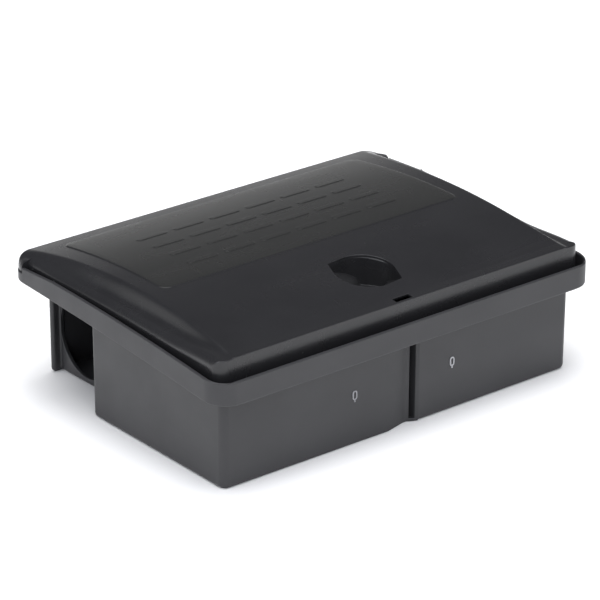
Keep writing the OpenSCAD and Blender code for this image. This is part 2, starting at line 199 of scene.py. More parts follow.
class Shell:
    """Points and faces that are collected into one mesh."""

    def __init__(self):
        self.points = []
        self.faces = []

    def add(self, points):
        first = len(self.points)
        self.points.extend([tuple(p) for p in points])
        return list(range(first, len(self.points)))

    def face(self, *corners):
        """One face; a corner given twice counts once, and a face without area is left out."""
        corners = list(dict.fromkeys(corners))
        if len(corners) > 2:
            self.faces.append(corners)

    def bridge(self, a, b):
        """Faces between two closed rows of points of the same length."""
        for i in range(len(a)):
            j = (i + 1) % len(a)
            self.face(a[i], a[j], b[j], b[i])

    def join(self, rings):
        """Faces between each ring and the next."""
        for a, b in zip(rings, rings[1:]):
            self.bridge(a, b)

    def cap(self, first, last):
        """Faces that close a row of rings at both ends."""
        self.faces.append(list(reversed(first)))
        self.faces.append(last)

    def lathe(self, profile, origin, axis, closed=False, sides=32):
        """Solid of revolution; profile holds (radius, height) pairs."""
        axis = Vector(axis).normalized()
        side = axis.orthogonal().normalized()
        other = axis.cross(side)
        rings = []
        for radius, height in profile:
            centre = Vector(origin) + axis * height
            if radius < 1e-6:
                rings.append(self.add([centre]) * sides)
                continue
            turns = [2 * math.pi * k / sides for k in range(sides)]
            rings.append(self.add([
                centre + (side * math.cos(t) + other * math.sin(t)) * radius for t in turns
            ]))
        if closed:
            rings.append(rings[0])
        self.join(rings)

    def rounded_block(self, low, high, radius, segments=3):
        """Block with rounded edges."""
        bm = bmesh.new()
        bmesh.ops.create_cube(bm, size=1.0)
        low, high = Vector(low), Vector(high)
        for v in bm.verts:
            v.co = Vector(low[k] if v.co[k] < 0 else high[k] for k in range(3))
        bmesh.ops.bevel(bm, geom=bm.edges[:], offset=radius, segments=segments,
                        profile=0.5, affect="EDGES")
        bm.verts.index_update()
        index = self.add([v.co for v in bm.verts])
        self.faces.extend([index[v.index] for v in f.verts] for f in bm.faces)
        bm.free()


def fillet(count):
    """Angles in radians for the rings of a rounded edge."""
    return [math.radians(90.0 * k / count) for k in range(count + 1)]


# ---- finishes ----

def new_material(name):
    """New material, with its node tree and its shader."""
    material = bpy.data.materials.new(name)
    material.use_nodes = True
    return material, material.node_tree, material.node_tree.nodes["Principled BSDF"]


def new_node(tree, kind, inputs):
    """New node, with a number, a vector or a socket for each input that is named."""
    node = tree.nodes.new("ShaderNode" + kind)
    for name, value in inputs.items():
        if isinstance(value, bpy.types.NodeSocket):
            tree.links.new(value, node.inputs[name])
        else:
            node.inputs[name].default_value = value
    return node


def object_coords(tree):
    """The object's own coordinates, in metres."""
    return new_node(tree, "TexCoord", {}).outputs["Object"]


def split_up(tree, vector):
    """Sockets for the X, Y and Z of a vector."""
    return tuple(new_node(tree, "SeparateXYZ", {"Vector": vector}).outputs)


def mixed(tree, factor, first, second):
    """Colour that runs between two others, each a socket or a tone."""
    mix = tree.nodes.new("ShaderNodeMix")
    mix.data_type = "RGBA"
    for name, colour in (("A", first), ("B", second)):
        if isinstance(colour, tuple):
            mix.inputs[name].default_value = (*colour, 1.0)
        else:
            tree.links.new(colour, mix.inputs[name])
    tree.links.new(factor, mix.inputs["Factor"])
    return mix.outputs["Result"]


def ranged(tree, value, low, high, start=0.3, stop=0.7):
    """Value moved from start..stop to low..high."""
    inputs = {"Value": value, "From Min": start, "From Max": stop, "To Min": low, "To Max": high}
    return new_node(tree, "MapRange", inputs).outputs["Result"]


def noise(tree, coords, scale, detail=3.0, roughness=0.5, stretch=(1, 1, 1)):
    """Noise over the object's own coordinates; scale is in features per metre."""
    mapping = new_node(tree, "Mapping", {"Vector": coords, "Scale": stretch})
    inputs = {"Vector": mapping.outputs["Vector"], "Scale": scale, "Detail": detail,
              "Roughness": roughness}
    return new_node(tree, "TexNoise", inputs).outputs["Fac"]


def maths(tree, operation, *values):
    """Result of a maths operation on sockets and numbers."""
    node = tree.nodes.new("ShaderNodeMath")
    node.operation = operation
    for socket, value in zip(node.inputs, values):
        if isinstance(value, float):
            socket.default_value = value
        else:
            tree.links.new(value, socket)
    return node.outputs[0]


def bumped(tree, height, depth, under=None):
    """Normal raised by a pattern of a depth in mm, over another bump if one is given."""
    inputs = {"Strength": 1.0, "Distance": depth * MM, "Height": height}
    if under:
        inputs["Normal"] = under
    return new_node(tree, "Bump", inputs).outputs["Normal"]


def moulded(name, dark, light, rough, grain, depth, ripple=0.0):
    """Moulded plastic: grain of the mould, slow changes of tone, faint flow lines and scuffs.
    The grain's size, its depth and the ripple's depth are in mm."""
    material, tree, shader = new_material(name)
    coords = object_coords(tree)
    clouds = noise(tree, coords, 24.0, 4.0, 0.55)
    specks = noise(tree, coords, 1.0 / (2.2 * grain * MM), 2.0)
    flow = noise(tree, coords, 60.0, 2.0, 0.5, stretch=(0.25, 1.0, 1.0))
    scuffs = noise(tree, coords, 300.0, 3.0, 0.6, stretch=(1.0, 0.12, 1.0))
    fine = noise(tree, coords, 1.0 / (grain * MM), 3.0, 0.6)
    tone = maths(tree, "MULTIPLY_ADD", specks, 0.35, ranged(tree, clouds, 0.0, 0.65))
    tree.links.new(mixed(tree, tone, dark, light), shader.inputs["Base Color"])
    worn = ranged(tree, scuffs, 0.0, 0.05, 0.64, 0.80)
    base = ranged(tree, flow, rough - 0.03, rough + 0.04)
    tree.links.new(maths(tree, "ADD", base, worn), shader.inputs["Roughness"])
    waves = bumped(tree, flow, ripple) if ripple else None
    tree.links.new(bumped(tree, fine, depth, waves), shader.inputs["Normal"])
    return material


def drawn_steel(name, dark, light, rough):
    """Drawn steel: fine lines along the wire, faint stains."""
    material, tree, shader = new_material(name)
    coords = object_coords(tree)
    stains = noise(tree, coords, 180.0, 4.0, 0.6)
    lines = noise(tree, coords, 2600.0, 2.0, 0.5, stretch=(0.08, 1.0, 1.0))
    tree.links.new(mixed(tree, ranged(tree, stains, 0.0, 1.0), dark, light),
                   shader.inputs["Base Color"])
    tree.links.new(ranged(tree, lines, rough - 0.06, rough + 0.1), shader.inputs["Roughness"])
    shader.inputs["Metallic"].default_value = 1.0
    tree.links.new(bumped(tree, lines, 0.01), shader.inputs["Normal"])
    return material


def open_up(material):
    """A material's node tree, its object coordinates, and their X, Y and Z."""
    coords = object_coords(material.node_tree)
    return material.node_tree, coords, *split_up(material.node_tree, coords)


def lay_over(material, mask, tone):
    """Lays a tone over the material's own colour, as much as the mask says."""
    tree = material.node_tree
    colour = tree.nodes["Principled BSDF"].inputs["Base Color"]
    tree.links.new(mixed(tree, mask, colour.links[0].from_socket, tone), colour)


def add_worn_edge(material, height, half_width, tone, strength):
    """Painted highlight: a paler, patchy line where the height is near a curve a + b*y + c*y*y, in
    metres.
    """
    tree, coords, x, y, z = open_up(material)
    a, b, c = height
    slope = maths(tree, "MULTIPLY_ADD", y, c, b)
    curve = maths(tree, "MULTIPLY_ADD", y, slope, a)
    off = maths(tree, "ABSOLUTE", maths(tree, "SUBTRACT", z, curve))
    mask = ranged(tree, off, strength, 0.0, half_width * 0.3, half_width)
    patchy = ranged(tree, noise(tree, coords, 90.0, 3.0, 0.6), 0.35, 1.0)
    lay_over(material, maths(tree, "MULTIPLY", mask, patchy), tone)


def add_dusty_recess(material, middle, radius, below, tone):
    """Painted light: paler, patchy plastic inside a round recess, lower than a height, for light
    on the ramps. Sizes in metres.
    """
    tree, coords, x, y, z = open_up(material)
    aside = maths(tree, "SUBTRACT", x, middle[0])
    along = maths(tree, "SUBTRACT", y, middle[1])
    square = maths(tree, "ADD", maths(tree, "MULTIPLY", aside, aside),
                   maths(tree, "MULTIPLY", along, along))
    distance = maths(tree, "SQRT", square)
    inside = ranged(tree, distance, 1.0, 0.0, radius * 0.97, radius)
    deep = ranged(tree, z, 1.0, 0.0, below - 1.0 * MM, below)
    patchy = ranged(tree, noise(tree, coords, 160.0, 4.0, 0.6), 0.7, 1.0)
    mask = maths(tree, "MULTIPLY", maths(tree, "MULTIPLY", inside, deep), patchy)
    lay_over(material, mask, tone)


def add_panel_finish(material, front, back, half, tone):
    """Paler finish on a rectangle of the top, from front to back. Sizes in metres."""
    tree, coords, x, y, z = open_up(material)
    aside = maths(tree, "ABSOLUTE", x)
    along = maths(tree, "ABSOLUTE", maths(tree, "SUBTRACT", y, (front + back) / 2))
    deep = (back - front) / 2
    mask = maths(tree, "MULTIPLY", ranged(tree, aside, 1.0, 0.0, half - 1.0 * MM, half),
                 ranged(tree, along, 1.0, 0.0, deep - 1.0 * MM, deep))
    lay_over(material, mask, tone)


def rim_parabola(lift, depths=(-10.0, 70.0, 150.0)):
    """Terms of a parabola a little over the rim's lower edge, for the row frame in metres."""
    depths = np.array(depths)
    c, b, a = np.polyfit((depths - SHIFT_Y) * MM, (rim_low_z(depths) + lift) * MM, 2)
    return float(a), float(b), float(c)


TUB = moulded("tub_plastic", (0.0200, 0.0200, 0.0220), (0.0300, 0.0300, 0.0325), 0.46, 0.7, 0.03)
LID = moulded("lid_plastic", (0.0150, 0.0150, 0.0163), (0.0190, 0.0190, 0.0205), 0.25, 0.9, 0.005,
              ripple=0.008)
LATCH = moulded("latch_plastic", (0.030, 0.030, 0.032), (0.042, 0.042, 0.045), 0.38, 0.5, 0.01)
TRAY = moulded("tray_plastic", (0.032, 0.032, 0.035), (0.046, 0.046, 0.050), 0.34, 0.6, 0.012)
MARK = moulded("mark_plastic", (0.16, 0.16, 0.17), (0.50, 0.50, 0.52), 0.6, 0.5, 0.05)
STEEL = drawn_steel("bright_steel", (0.42, 0.43, 0.45), (0.62, 0.63, 0.65), 0.28)

# painted light on the key well's ramps, below this height in mm
WELL_LIGHT_TOP = 69.5
# painted highlight along the rim's lower edge
add_worn_edge(TUB, rim_parabola(0.15), 0.55 * MM, (0.055, 0.055, 0.057), 0.8)
add_dusty_recess(LID, (WELL_OFF[0] * MM, (WELL_Y + WELL_OFF[1] - SHIFT_Y) * MM), WELL_TIP * MM,
                 WELL_LIGHT_TOP * MM, (0.019, 0.019, 0.020))
add_panel_finish(LID, (PANEL_Y[0] - SHIFT_Y) * MM, (PANEL_Y[1] - SHIFT_Y) * MM, PANEL_HALF * MM,
                 (0.0198, 0.0200, 0.0195))


# ---- pieces that keep the CAD shape, with moulded edges ----

SHARP_EDGE = 28.0               # edges sharper than this, in degrees, are rounded
WIDEST = 3.0                    # radius that a bevel weight of 1 stands for


def in_drawing(vertex):
    """A mesh point in mm of the drawing frame."""
    return vertex.co / MM + Vector((0, SHIFT_Y, 0))


def softened(node, name, body, material, width, width_of=None, move=None):
    """Copy of a CAD node as clean faces with rounded edges. width_of gives an edge's own
    radius in mm from its two ends in the drawing frame, and move shifts the points."""
    mesh = NODES[node].data.copy()
    mesh.name = name
    bm = bmesh.new()
    bm.from_mesh(mesh)
    bmesh.ops.remove_doubles(bm, verts=bm.verts, dist=0.002 * MM)
    bmesh.ops.dissolve_limit(bm, angle_limit=math.radians(0.05), use_dissolve_boundaries=False,
                             verts=bm.verts, edges=bm.edges)
    bmesh.ops.triangulate(bm, faces=[f for f in bm.faces if len(f.verts) > 4])
    if move:
        for v in bm.verts:
            p = v.co / MM
            x, y, z = move(p.x, p.y + SHIFT_Y, p.z)
            v.co = Vector((x, y - SHIFT_Y, z)) * MM
    weights = bm.edges.layers.float.new("bevel_weight_edge")
    for edge in bm.edges:
        if edge.is_manifold and math.degrees(edge.calc_face_angle()) >= SHARP_EDGE:
            own = width_of(*map(in_drawing, edge.verts)) if width_of else width
            edge[weights] = own / WIDEST
    bm.to_mesh(mesh)
    bm.free()
    rounded = new_object(name + "_blank", mesh)
    bevel = rounded.modifiers.new("Rounded edges", "BEVEL")
    bevel.limit_method = "WEIGHT"
    bevel.offset_type = "OFFSET"
    bevel.width = WIDEST * MM
    bevel.segments = 3
    bevel.loop_slide = False
    bevel.use_clamp_overlap = False
    bevel.miter_outer = "MITER_SHARP"
    graph = bpy.context.evaluated_depsgraph_get()
    done = bpy.data.meshes.new_from_object(rounded.evaluated_get(graph))
    done.name = name
    low, high = node_box(node)
    for v in done.vertices:
        v.co = Vector(np.clip(v.co, low * MM, high * MM))
    bpy.data.objects.remove(rounded)
    return adopt(name, done, body, material, replaces=[node])


DRAFT = 0.3                     # the walls lean in by this much at the underside
SIDE_X = 100.0                  # the front part's side walls are further out than this
REAR_SIDE_X = 90.0              # and the rear part's than this
FRONT_AREA = 12.0               # the front wall and its groove end before this depth
FRONT_FACE = 3.0                # and the wall's outer face before this
BACK_FACE = 158.0               # the back wall's outer face is past this
GROOVE_HALF = 13.0
GROOVE_BACK = 16.0
MARK_HALF = (2.5, 4.0)          # area of a ring mark, where no edge is rounded

FOOT_R = 2.2                    # radii of the tub's edges
UPRIGHT_R = 1.0
RIM_R = 0.6
PLAIN_R = 0.35


def drafted(x, y, z):
    """Walls of the tub's front part, leaned in towards the underside."""
    lean = DRAFT * max(0.0, 1.0 - z / RIM_LOW_Z)
    if z < RIM_LOW_Z and abs(x) > SIDE_X:
        x -= math.copysign(lean, x)
    if z < RIM_LOW_Z and y < FRONT_AREA:
        y += lean
    return x, y, z


def tub_edge(a, b):
    """Radius of one edge of the tub, in mm."""
    middle = (a + b) / 2
    outer = (abs(middle.x) > SIDE_X or middle.y < FRONT_FACE or middle.y > BACK_FACE
             or (abs(middle.x) > REAR_SIDE_X and middle.y > STEP_Y - 1))
    from_mid = abs(middle.x - FRONT_MID)
    near_mark = (abs(from_mid - MARK_X) < MARK_HALF[0] and abs(middle.z - MARK_Z) < MARK_HALF[1]
                 and middle.y < FRONT_FACE)
    if near_mark:
        return 0.0
    if from_mid < GROOVE_HALF and middle.y < GROOVE_BACK:
        return PLAIN_R
    if a.z < 0.1 and b.z < 0.1 and outer:
        return FOOT_R
    if abs(middle.x) > BODY_HALF or middle.y < -5.0:
        return RIM_R
    if abs(a.z - b.z) > 20.0 and outer:
        return UPRIGHT_R
    return PLAIN_R


softened("base_tub", "tub_shell", "base", TUB, PLAIN_R, width_of=tub_edge, move=drafted)
softened("baffle_plate", "baffle_shell", "base", TUB, 0.5)
for tray in ("tray_left", "tray_right"):
    softened("bait_" + tray, tray + "_shell", tray, TRAY, PLAIN_R)
softened("latch_housing", "housing_shell", "lid", LATCH, PLAIN_R)
softened("latch_slider", "slider_shell", "latch", LATCH, 0.3)

STEEL_NODES = ("hinge_pin_{}", "latch_screw_{}", "bait_rod_{}_front", "bait_rod_{}_rear")
for side in ("left", "right"):
    for node_name in STEEL_NODES:
        for material_slot in NODES[node_name.format(side)].material_slots:
            material_slot.material = STEEL


# ---- scuffed ring marks on the front wall ----

MARK_WIDTH = 2.9
MARK_HEIGHT = 5.0
MARK_LINE = 0.72                # width of the ring's line
MARK_PROUD = 0.36               # it stands this far out of the wall
MARK_SUNK = 0.4                 # and goes this far in
MARK_EDGE = 0.2
MARK_STEPS = 12


def ring_mark(name, x):
    """Small oval ring in low relief with a short tail under it."""
    mark = Shell()
    straight = (MARK_HEIGHT - MARK_WIDTH) / 2

    def outline(inset, y):
        row = []
        for lift, start in ((straight, 0.0), (-straight, math.pi)):
            for k in range(MARK_STEPS + 1):
                a = start + math.pi * k / MARK_STEPS
                r = MARK_WIDTH / 2 - inset
                row.append((x + r * math.cos(a), y, MARK_Z + lift + r * math.sin(a)))
        return mark.add(row)

    section = ((0.0, MARK_SUNK), (0.0, -0.2), (MARK_EDGE, -MARK_PROUD),
               (MARK_LINE - MARK_EDGE, -MARK_PROUD), (MARK_LINE, -0.2), (MARK_LINE, MARK_SUNK))
    rings = [outline(inset, FRONT_Y + y) for inset, y in section]
    mark.join(rings + rings[:1])
    foot = MARK_Z - MARK_HEIGHT / 2
    mark.rounded_block((x - 0.35, FRONT_Y - 0.3, foot - 1.1),
                       (x + 0.35, FRONT_Y + MARK_SUNK, foot + 0.2), 0.15)
    return piece(name, mark.points, mark.faces, "base", MARK, sharp=50.0)


ring_mark("ring_mark_left", FRONT_MID - MARK_X)
ring_mark("ring_mark_right", FRONT_MID + MARK_X)


# ---- latch spring ----

SPRING_Y = (50.4, 65.6)
SPRING_Z = 54.2
SPRING_R = 1.75
WIRE_R = 0.35
SPRING_TURNS = 7.0
CLOSED_TURNS = 0.9              # part of a turn that lies nearly flat at each end
SPRING_EASE = 0.35              # share of the pitch that is eased in and out


def latch_spring():
    """Compression spring of round wire with closed ends."""
    spring = Shell()
    steps, sides = 220, 10
    low, high = SPRING_Y[0] + WIRE_R, SPRING_Y[1] - WIRE_R
    flat = CLOSED_TURNS / SPRING_TURNS
    rings = []
    for i in range(steps + 1):
        share = i / steps
        turn = 2 * math.pi * SPRING_TURNS * share
        open_share = (share - flat * 0.5) / (1 - flat)
        even = min(max(open_share, 0.0), 1.0)
        rise = SPRING_EASE * float(smooth(open_share)) + (1 - SPRING_EASE) * even
        y = low + (high - low) * rise
        ring = []
        for j in range(sides):
            a = 2 * math.pi * j / sides
            r = SPRING_R + WIRE_R * math.cos(a)
            ring.append((r * math.cos(turn), y + WIRE_R * math.sin(a),
                         SPRING_Z + r * math.sin(turn)))
        rings.append(spring.add(ring))
    spring.join(rings)
    spring.cap(rings[0], rings[-1])
    return piece("spring_coil", spring.points, spring.faces, "lid", STEEL,
                 sharp=50.0, replaces=["latch_spring"])


spring = latch_spring()
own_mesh(spring)


# ---- lid ----

FRONT_CREASE = 2.2              # depth where the level front strip begins
FRONT_FALL = 0.09
CREASE_HALF = 104.6             # crown's end crease, from the middle
CREASE_SPREAD = 4.0
FOOT_HALF = 106.1               # foot of the end slope at the front
FOOT_SPREAD = 7.7
END_SOFT = 1.5                  # the end slope is rounded over this much
VALLEY = 0.35                   # shallow valley along the foot of the end slope
VALLEY_WIDTH = 1.3
LEDGE_RISE = 0.8                # the ledge beside the slope climbs towards the front
LEDGE_RISE_LEN = 200.0
CORNER_RISE = 2.0               # and meets the crown at the front corners
CORNER_RISE_LEN = 45.0
LEDGE_FROM = 10.0
LEDGE_LEN = 148.0
UNDER_FROM = LID_WALL + 0.2     # the underside starts this far in from the outline


def lid_top(x, y, inset=0.0):
    """Height of the lid's top: a crown with soft end slopes over a ledge."""
    x, y = np.abs(np.asarray(x, float)), np.asarray(y, float)
    t = np.clip((y - LEDGE_FROM) / LEDGE_LEN, 0.0, 1.0)
    corner = 1.0 - smooth((y - LID_FRONT) / CORNER_RISE_LEN)
    crease = CREASE_HALF + CREASE_SPREAD * t ** 4 - inset - END_SOFT * (1.0 - 0.8 * corner)
    foot = FOOT_HALF + FOOT_SPREAD * t ** 2 - inset + END_SOFT
    front = crown_z(FRONT_CREASE) - (FRONT_CREASE - y) * FRONT_FALL
    crown = np.where(y < FRONT_CREASE, front, crown_z(y))
    share = smooth((foot - x) / (foot - crease))
    ledge = shoulder_z(y) + LEDGE_RISE * (1.0 - smooth(y / LEDGE_RISE_LEN)) + CORNER_RISE * corner
    ledge = np.minimum(ledge, crown)
    valley = VALLEY * (1.0 - corner) * np.exp(-((x - foot + END_SOFT * 0.6) / VALLEY_WIDTH) ** 2)
    return ledge - valley + (crown - ledge) * share


def top_z(x, y):
    """Height of the lid's top at one point."""
    return float(lid_top(x, y))


def under_z(x, y):
    """Height of the lid's underside at one point."""
    return float(lid_top(x, y, inset=LID_WALL)) - LID_WALL


def well_reach(angle, grow):
    """Distance from the well's centre to its eye-shaped outline, made wider by grow."""
    radius, tip = WELL_R + grow, WELL_TIP + 1.2 * grow
    off = math.acos(min(abs(math.sin(angle - WELL_TURN)), 1.0))
    tangent = math.acos(radius / tip)
    return radius / math.cos(max(tangent - off, 0.0))


def well_point(angle, reach):
    """Point of the well, whose outline sits a little off the key hole's centre."""
    off = min(max((reach - KEY_R - 1.0) / (WELL_R - KEY_R - 2.0), 0.0), 1.0)
    return (reach * math.cos(angle) + WELL_OFF[0] * off,
            WELL_Y + reach * math.sin(angle) + WELL_OFF[1] * off)


def bead(angle):
    """Width of the step in the well's wall, widest in one direction."""
    off = math.remainder(angle - GLINT_TURN, 2 * math.pi)
    return 0.05 + 0.5 * math.exp(-(off / GLINT_SPREAD) ** 2)


def well_floor(x, y):
    """Height of the well's floor, with a ramp towards each tip."""
    tip = WELL_TURN + math.pi / 2
    along = abs(x * math.cos(tip) + (y - WELL_Y) * math.sin(tip))
    t = (along - RAMP_REACH) / RAMP_LEN
    ramp = RAMP_STEP + (RAMP_RISE - RAMP_STEP) * t
    return WELL_Z + ramp * float(smooth(0.5 + (along - RAMP_REACH - 0.5) / 0.9))


def spaced(*runs):
    """Rising positions from runs of (start, stop, number of steps)."""
    values = []
    for start, stop, steps in runs:
        values.extend(start + (stop - start) * k / steps for k in range(steps))
    return values + [runs[-1][1]]


WINDOW_X = 22.0                 # patch of the top that holds the well
WINDOW_Y = (8.0, 50.0)
WINDOW_STEPS = 16
SLOPE_FROM = 99.0               # the grid is finer outside this, under the end slopes
FLARE_STEP = (FLARE_FRONT - 0.05, FLARE_FRONT + 0.15)
INNER_X = LID_HALF - LID_CORNER
INNER_Y = (LID_FRONT + LID_CORNER, LID_BACK - LID_CORNER)
GRID_X = spaced((-INNER_X, -SLOPE_FROM, 17), (-SLOPE_FROM, -WINDOW_X, 14),
                (-WINDOW_X, WINDOW_X, WINDOW_STEPS),
                (WINDOW_X, SLOPE_FROM, 14), (SLOPE_FROM, INNER_X, 17))
GRID_Y = spaced((INNER_Y[0], WINDOW_Y[0], 2), (*WINDOW_Y, WINDOW_STEPS),
                (WINDOW_Y[1], FLARE_STEP[0], 33), (*FLARE_STEP, 1), (FLARE_STEP[1], INNER_Y[1], 2))
WINDOW_I = [k for k, x in enumerate(GRID_X) if abs(x) < WINDOW_X + 0.01]
WINDOW_J = [k for k, y in enumerate(GRID_Y) if WINDOW_Y[0] - 0.01 < y < WINDOW_Y[1] + 0.01]
CORNER_STEPS = 9
SLOT_X = 5.5
SLOT_RINGS = (5.4, 1.1)         # the slot's back and front, in from the outline
RIM_INSETS = spaced((LID_CORNER, SLOT_RINGS[0], 1), (*SLOT_RINGS, 8),
                    (SLOT_RINGS[1], FRONT_EDGE_R, 1))[1:]


def lid_columns():
    """Places round the inner grid, with the direction out of the lid at each."""
    nx, ny = len(GRID_X) - 1, len(GRID_Y) - 1
    sides = (
        ([(i, 0) for i in range(nx + 1)], -90.0),
        ([(nx, j) for j in range(ny + 1)], 0.0),
        ([(i, ny) for i in range(nx, -1, -1)], 90.0),
        ([(0, j) for j in range(ny, -1, -1)], 180.0),
    )
    columns = []
    for places, heading in sides:
        columns.extend((place, heading) for place in places)
        turns = [heading + 90.0 * k / CORNER_STEPS for k in range(1, CORNER_STEPS)]
        columns.extend((places[-1], turn) for turn in turns)
    return [(place, math.radians(heading)) for place, heading in columns]


def around(columns, reaches):
    """Points outwards from the inner grid, with one reach for each column."""
    return [(GRID_X[i] + reach * math.cos(h), GRID_Y[j] + reach * math.sin(h))
            for ((i, j), h), reach in zip(columns, reaches)]


def lid_ring(columns, inset):
    """Outline of the lid's skirt, moved in by inset."""
    return around(columns, [LID_CORNER - inset] * len(columns))


def flared(y):
    """True at the depths where the lid's top reaches out past the skirt."""
    return y > FLARE_FRONT


def top_reach(x, y, heading):
    """Distance from a point of the inner grid to the outline of the lid's top."""
    out = (math.cos(heading), math.sin(heading))
    if not flared(y + LID_CORNER * out[1]):
        return LID_CORNER
    near, far = LID_CORNER, 4 * LID_CORNER
    for halving in range(30):
        reach = (near + far) / 2
        dx = max(abs(x + reach * out[0]) - (FLARE_HALF - FLARE_CORNER), 0.0)
        dy = max(y + reach * out[1] - (FLARE_BACK - FLARE_CORNER), 0.0)
        if math.hypot(dx, dy) < FLARE_CORNER:
            near = reach
        else:
            far = reach
    return near


def edge_radius(heading):
    """Radius of the lid's top edge for a direction out of the lid."""
    out = math.sin(heading)
    end = BACK_EDGE_R if out > 0 else FRONT_EDGE_R
    return SIDE_EDGE_R + (end - SIDE_EDGE_R) * float(smooth(abs(out)))


def top_ring(columns, reaches, share, turn=0.0):
    """Ring on the lid's top: share runs from the inner grid to the rounded edge, and turn
    goes round that edge."""
    radii = [edge_radius(heading) for place, heading in columns]
    return around(columns, [(reach - radius) * share + radius * math.sin(turn)
                            for reach, radius in zip(reaches, radii)])


def inner_grid(shell, height):
    """Grid of faces inside the lid's outline, with the key well's window left out."""
    index = {}
    for j, y in enumerate(GRID_Y):
        for i, x in enumerate(GRID_X):
            if not (i in WINDOW_I[1:-1] and j in WINDOW_J[1:-1]):
                index[i, j] = shell.add([(x, y, height(x, y))])[0]
    for j in range(len(GRID_Y) - 1):
        for i in range(len(GRID_X) - 1):
            if not (i in WINDOW_I[:-1] and j in WINDOW_J[:-1]):
                shell.face(index[i, j], index[i + 1, j], index[i + 1, j + 1], index[i, j + 1])
    return index


def lid_rings(shell, columns, top_grid, under_grid):
    """Rings from the top's grid over the edge, down the skirt and back to the underside's."""
    shares = [(LID_CORNER - inset) / (LID_CORNER - FRONT_EDGE_R) for inset in RIM_INSETS]
    reaches = [top_reach(GRID_X[i], GRID_Y[j], h) for (i, j), h in columns]
    radii = [edge_radius(heading) for place, heading in columns]
    rings = [[top_grid[place] for place, heading in columns]]
    for share in shares:
        rings.append(shell.add([(x, y, top_z(x, y))
                                for x, y in top_ring(columns, reaches, share)]))
    edge = [top_z(x, y) for x, y in top_ring(columns, reaches, 1.0)]
    for a in fillet(6)[1:]:
        places = top_ring(columns, reaches, 1.0, a)
        rings.append(shell.add([(x, y, z - r * (1 - math.cos(a)))
                                for (x, y), z, r in zip(places, edge, radii)]))

    # the step under the top's edge, or the flare's underside
    outline = lid_ring(columns, 0.0)
    top_outline = top_ring(columns, reaches, 1.0, math.pi / 2)
    bottom = [float(rim_low_z(y)) + SKIRT_LIFT for x, y in outline]
    low = [LIP_LOW if abs(x) < FLARE_IN else FLARE_LOW for x, y in outline]
    chamfer = [(x * 0.999, y - 0.1) for x, y in top_outline]
    steps = ((top_outline, 0.15, 0.6), (chamfer, 0.0, 1.6),
             (lid_ring(columns, -0.25), 0.0, 2.6), (outline, -0.25, 3.6))
    for places, lift, drop in steps:
        rings.append(shell.add([
            (*place, floor_z + lift) if flared(foot[1]) else (*foot, z - r - drop)
            for place, foot, floor_z, z, r in zip(places, outline, low, edge, radii)]))

    # the skirt, its rounded foot and its inner face
    start = [shell.points[k][2] for k in rings[-1]]
    for share in (0.33, 0.67):
        rings.append(shell.add([(x, y, z * (1 - share) + (b + 0.5) * share)
                                for (x, y), z, b in zip(outline, start, bottom)]))
    for inset, lift in ((0.0, 0.5), (0.15, 0.15), (0.5, 0.0), (LID_WALL - 0.5, 0.0),
                        (LID_WALL - 0.15, 0.15), (LID_WALL, 0.5)):
        rings.append(shell.add([(x, y, b + lift) for (x, y), b in
                                zip(lid_ring(columns, inset), bottom)]))
    under_rings = [[under_grid[place] for place, heading in columns]]
    for share in shares:
        places = lid_ring(columns, LID_CORNER - (LID_CORNER - UNDER_FROM) * share)
        under_rings.append(shell.add([(x, y, under_z(x, y)) for x, y in places]))
    start = [under_z(x, y) for x, y in lid_ring(columns, UNDER_FROM)]
    for share in (0.5, 1.0):
        rings.append(shell.add([
            (x, y, (b + 0.5) * (1 - share) + (z - 0.2) * share)
            for (x, y), z, b in zip(lid_ring(columns, LID_WALL), start, bottom)]))
    return rings + under_rings[::-1]


def add_skirt(shell, columns, rings):
    """Faces between the lid's rings, with the front slot cut through both skins."""
    count = len(columns)
    last = len(rings) - 1
    slot_cells = [k for k in range(count) if columns[k][1] == math.radians(-90.0)
                  and columns[(k + 1) % count][1] == math.radians(-90.0)
                  and abs(GRID_X[columns[k][0][0]] + GRID_X[columns[k + 1][0][0]]) / 2 < SLOT_X]
    slot_rows = [k for k, inset in enumerate(RIM_INSETS)
                 if SLOT_RINGS[1] + 1e-6 < inset <= SLOT_RINGS[0] + 1e-6]
    back, front = slot_rows[0] + 1, slot_rows[-1] + 2
    cut_rows = [*range(back, front), *range(last - front, last - back)]
    for r in range(last):
        for k in range(count):
            if not (k in slot_cells and r in cut_rows):
                n = (k + 1) % count
                shell.face(rings[r][k], rings[r][n], rings[r + 1][n], rings[r + 1][k])

    left, right = slot_cells[0], slot_cells[-1] + 1
    loop = [(back, k) for k in range(left, right + 1)]
    loop += [(r, right) for r in range(back + 1, front)]
    loop += [(front, k) for k in range(right, left - 1, -1)]
    loop += [(r, left) for r in range(front - 1, back, -1)]
    walls = [[rings[r][k] for r, k in loop]]
    mid_y = sum(shell.points[v][1] for v in walls[0]) / len(loop)
    for inset, drop in ((0.08, 0.04), (0.28, 0.25), (0.32, 0.6)):
        row = []
        for (r, k), v in zip(loop, walls[0]):
            x, y, z = shell.points[v]
            if k in (left, right):
                x -= math.copysign(inset, x)
            if r in (back, front):
                y -= math.copysign(inset, y - mid_y)
            row.append((x, y, z - drop))
        walls.append(shell.add(row))
    walls.append([rings[last - r][k] for r, k in loop])
    shell.join(walls)


BRINK_R = 0.4                   # round edges of the well: its brink, its floor's edge
FLOOR_R = 0.4
UNDER_R = 0.8                   # and where its wall meets the lid's underside
KEY_EDGE = 0.5                  # rounded edge of the key hole
BEAD_STEPS = ((0.0, 0.9), (0.0, 1.2), (0.15, 1.38), (0.5, 1.5), (0.85, 1.62), (1.0, 1.8))
BEAD_FOOT = BEAD_STEPS[-1][1]   # steps: share of the bead's width, depth in the well
FLOOR_SHARES = (0.15, 0.3, 0.45, 0.6, 0.75, 0.88, 1.0)


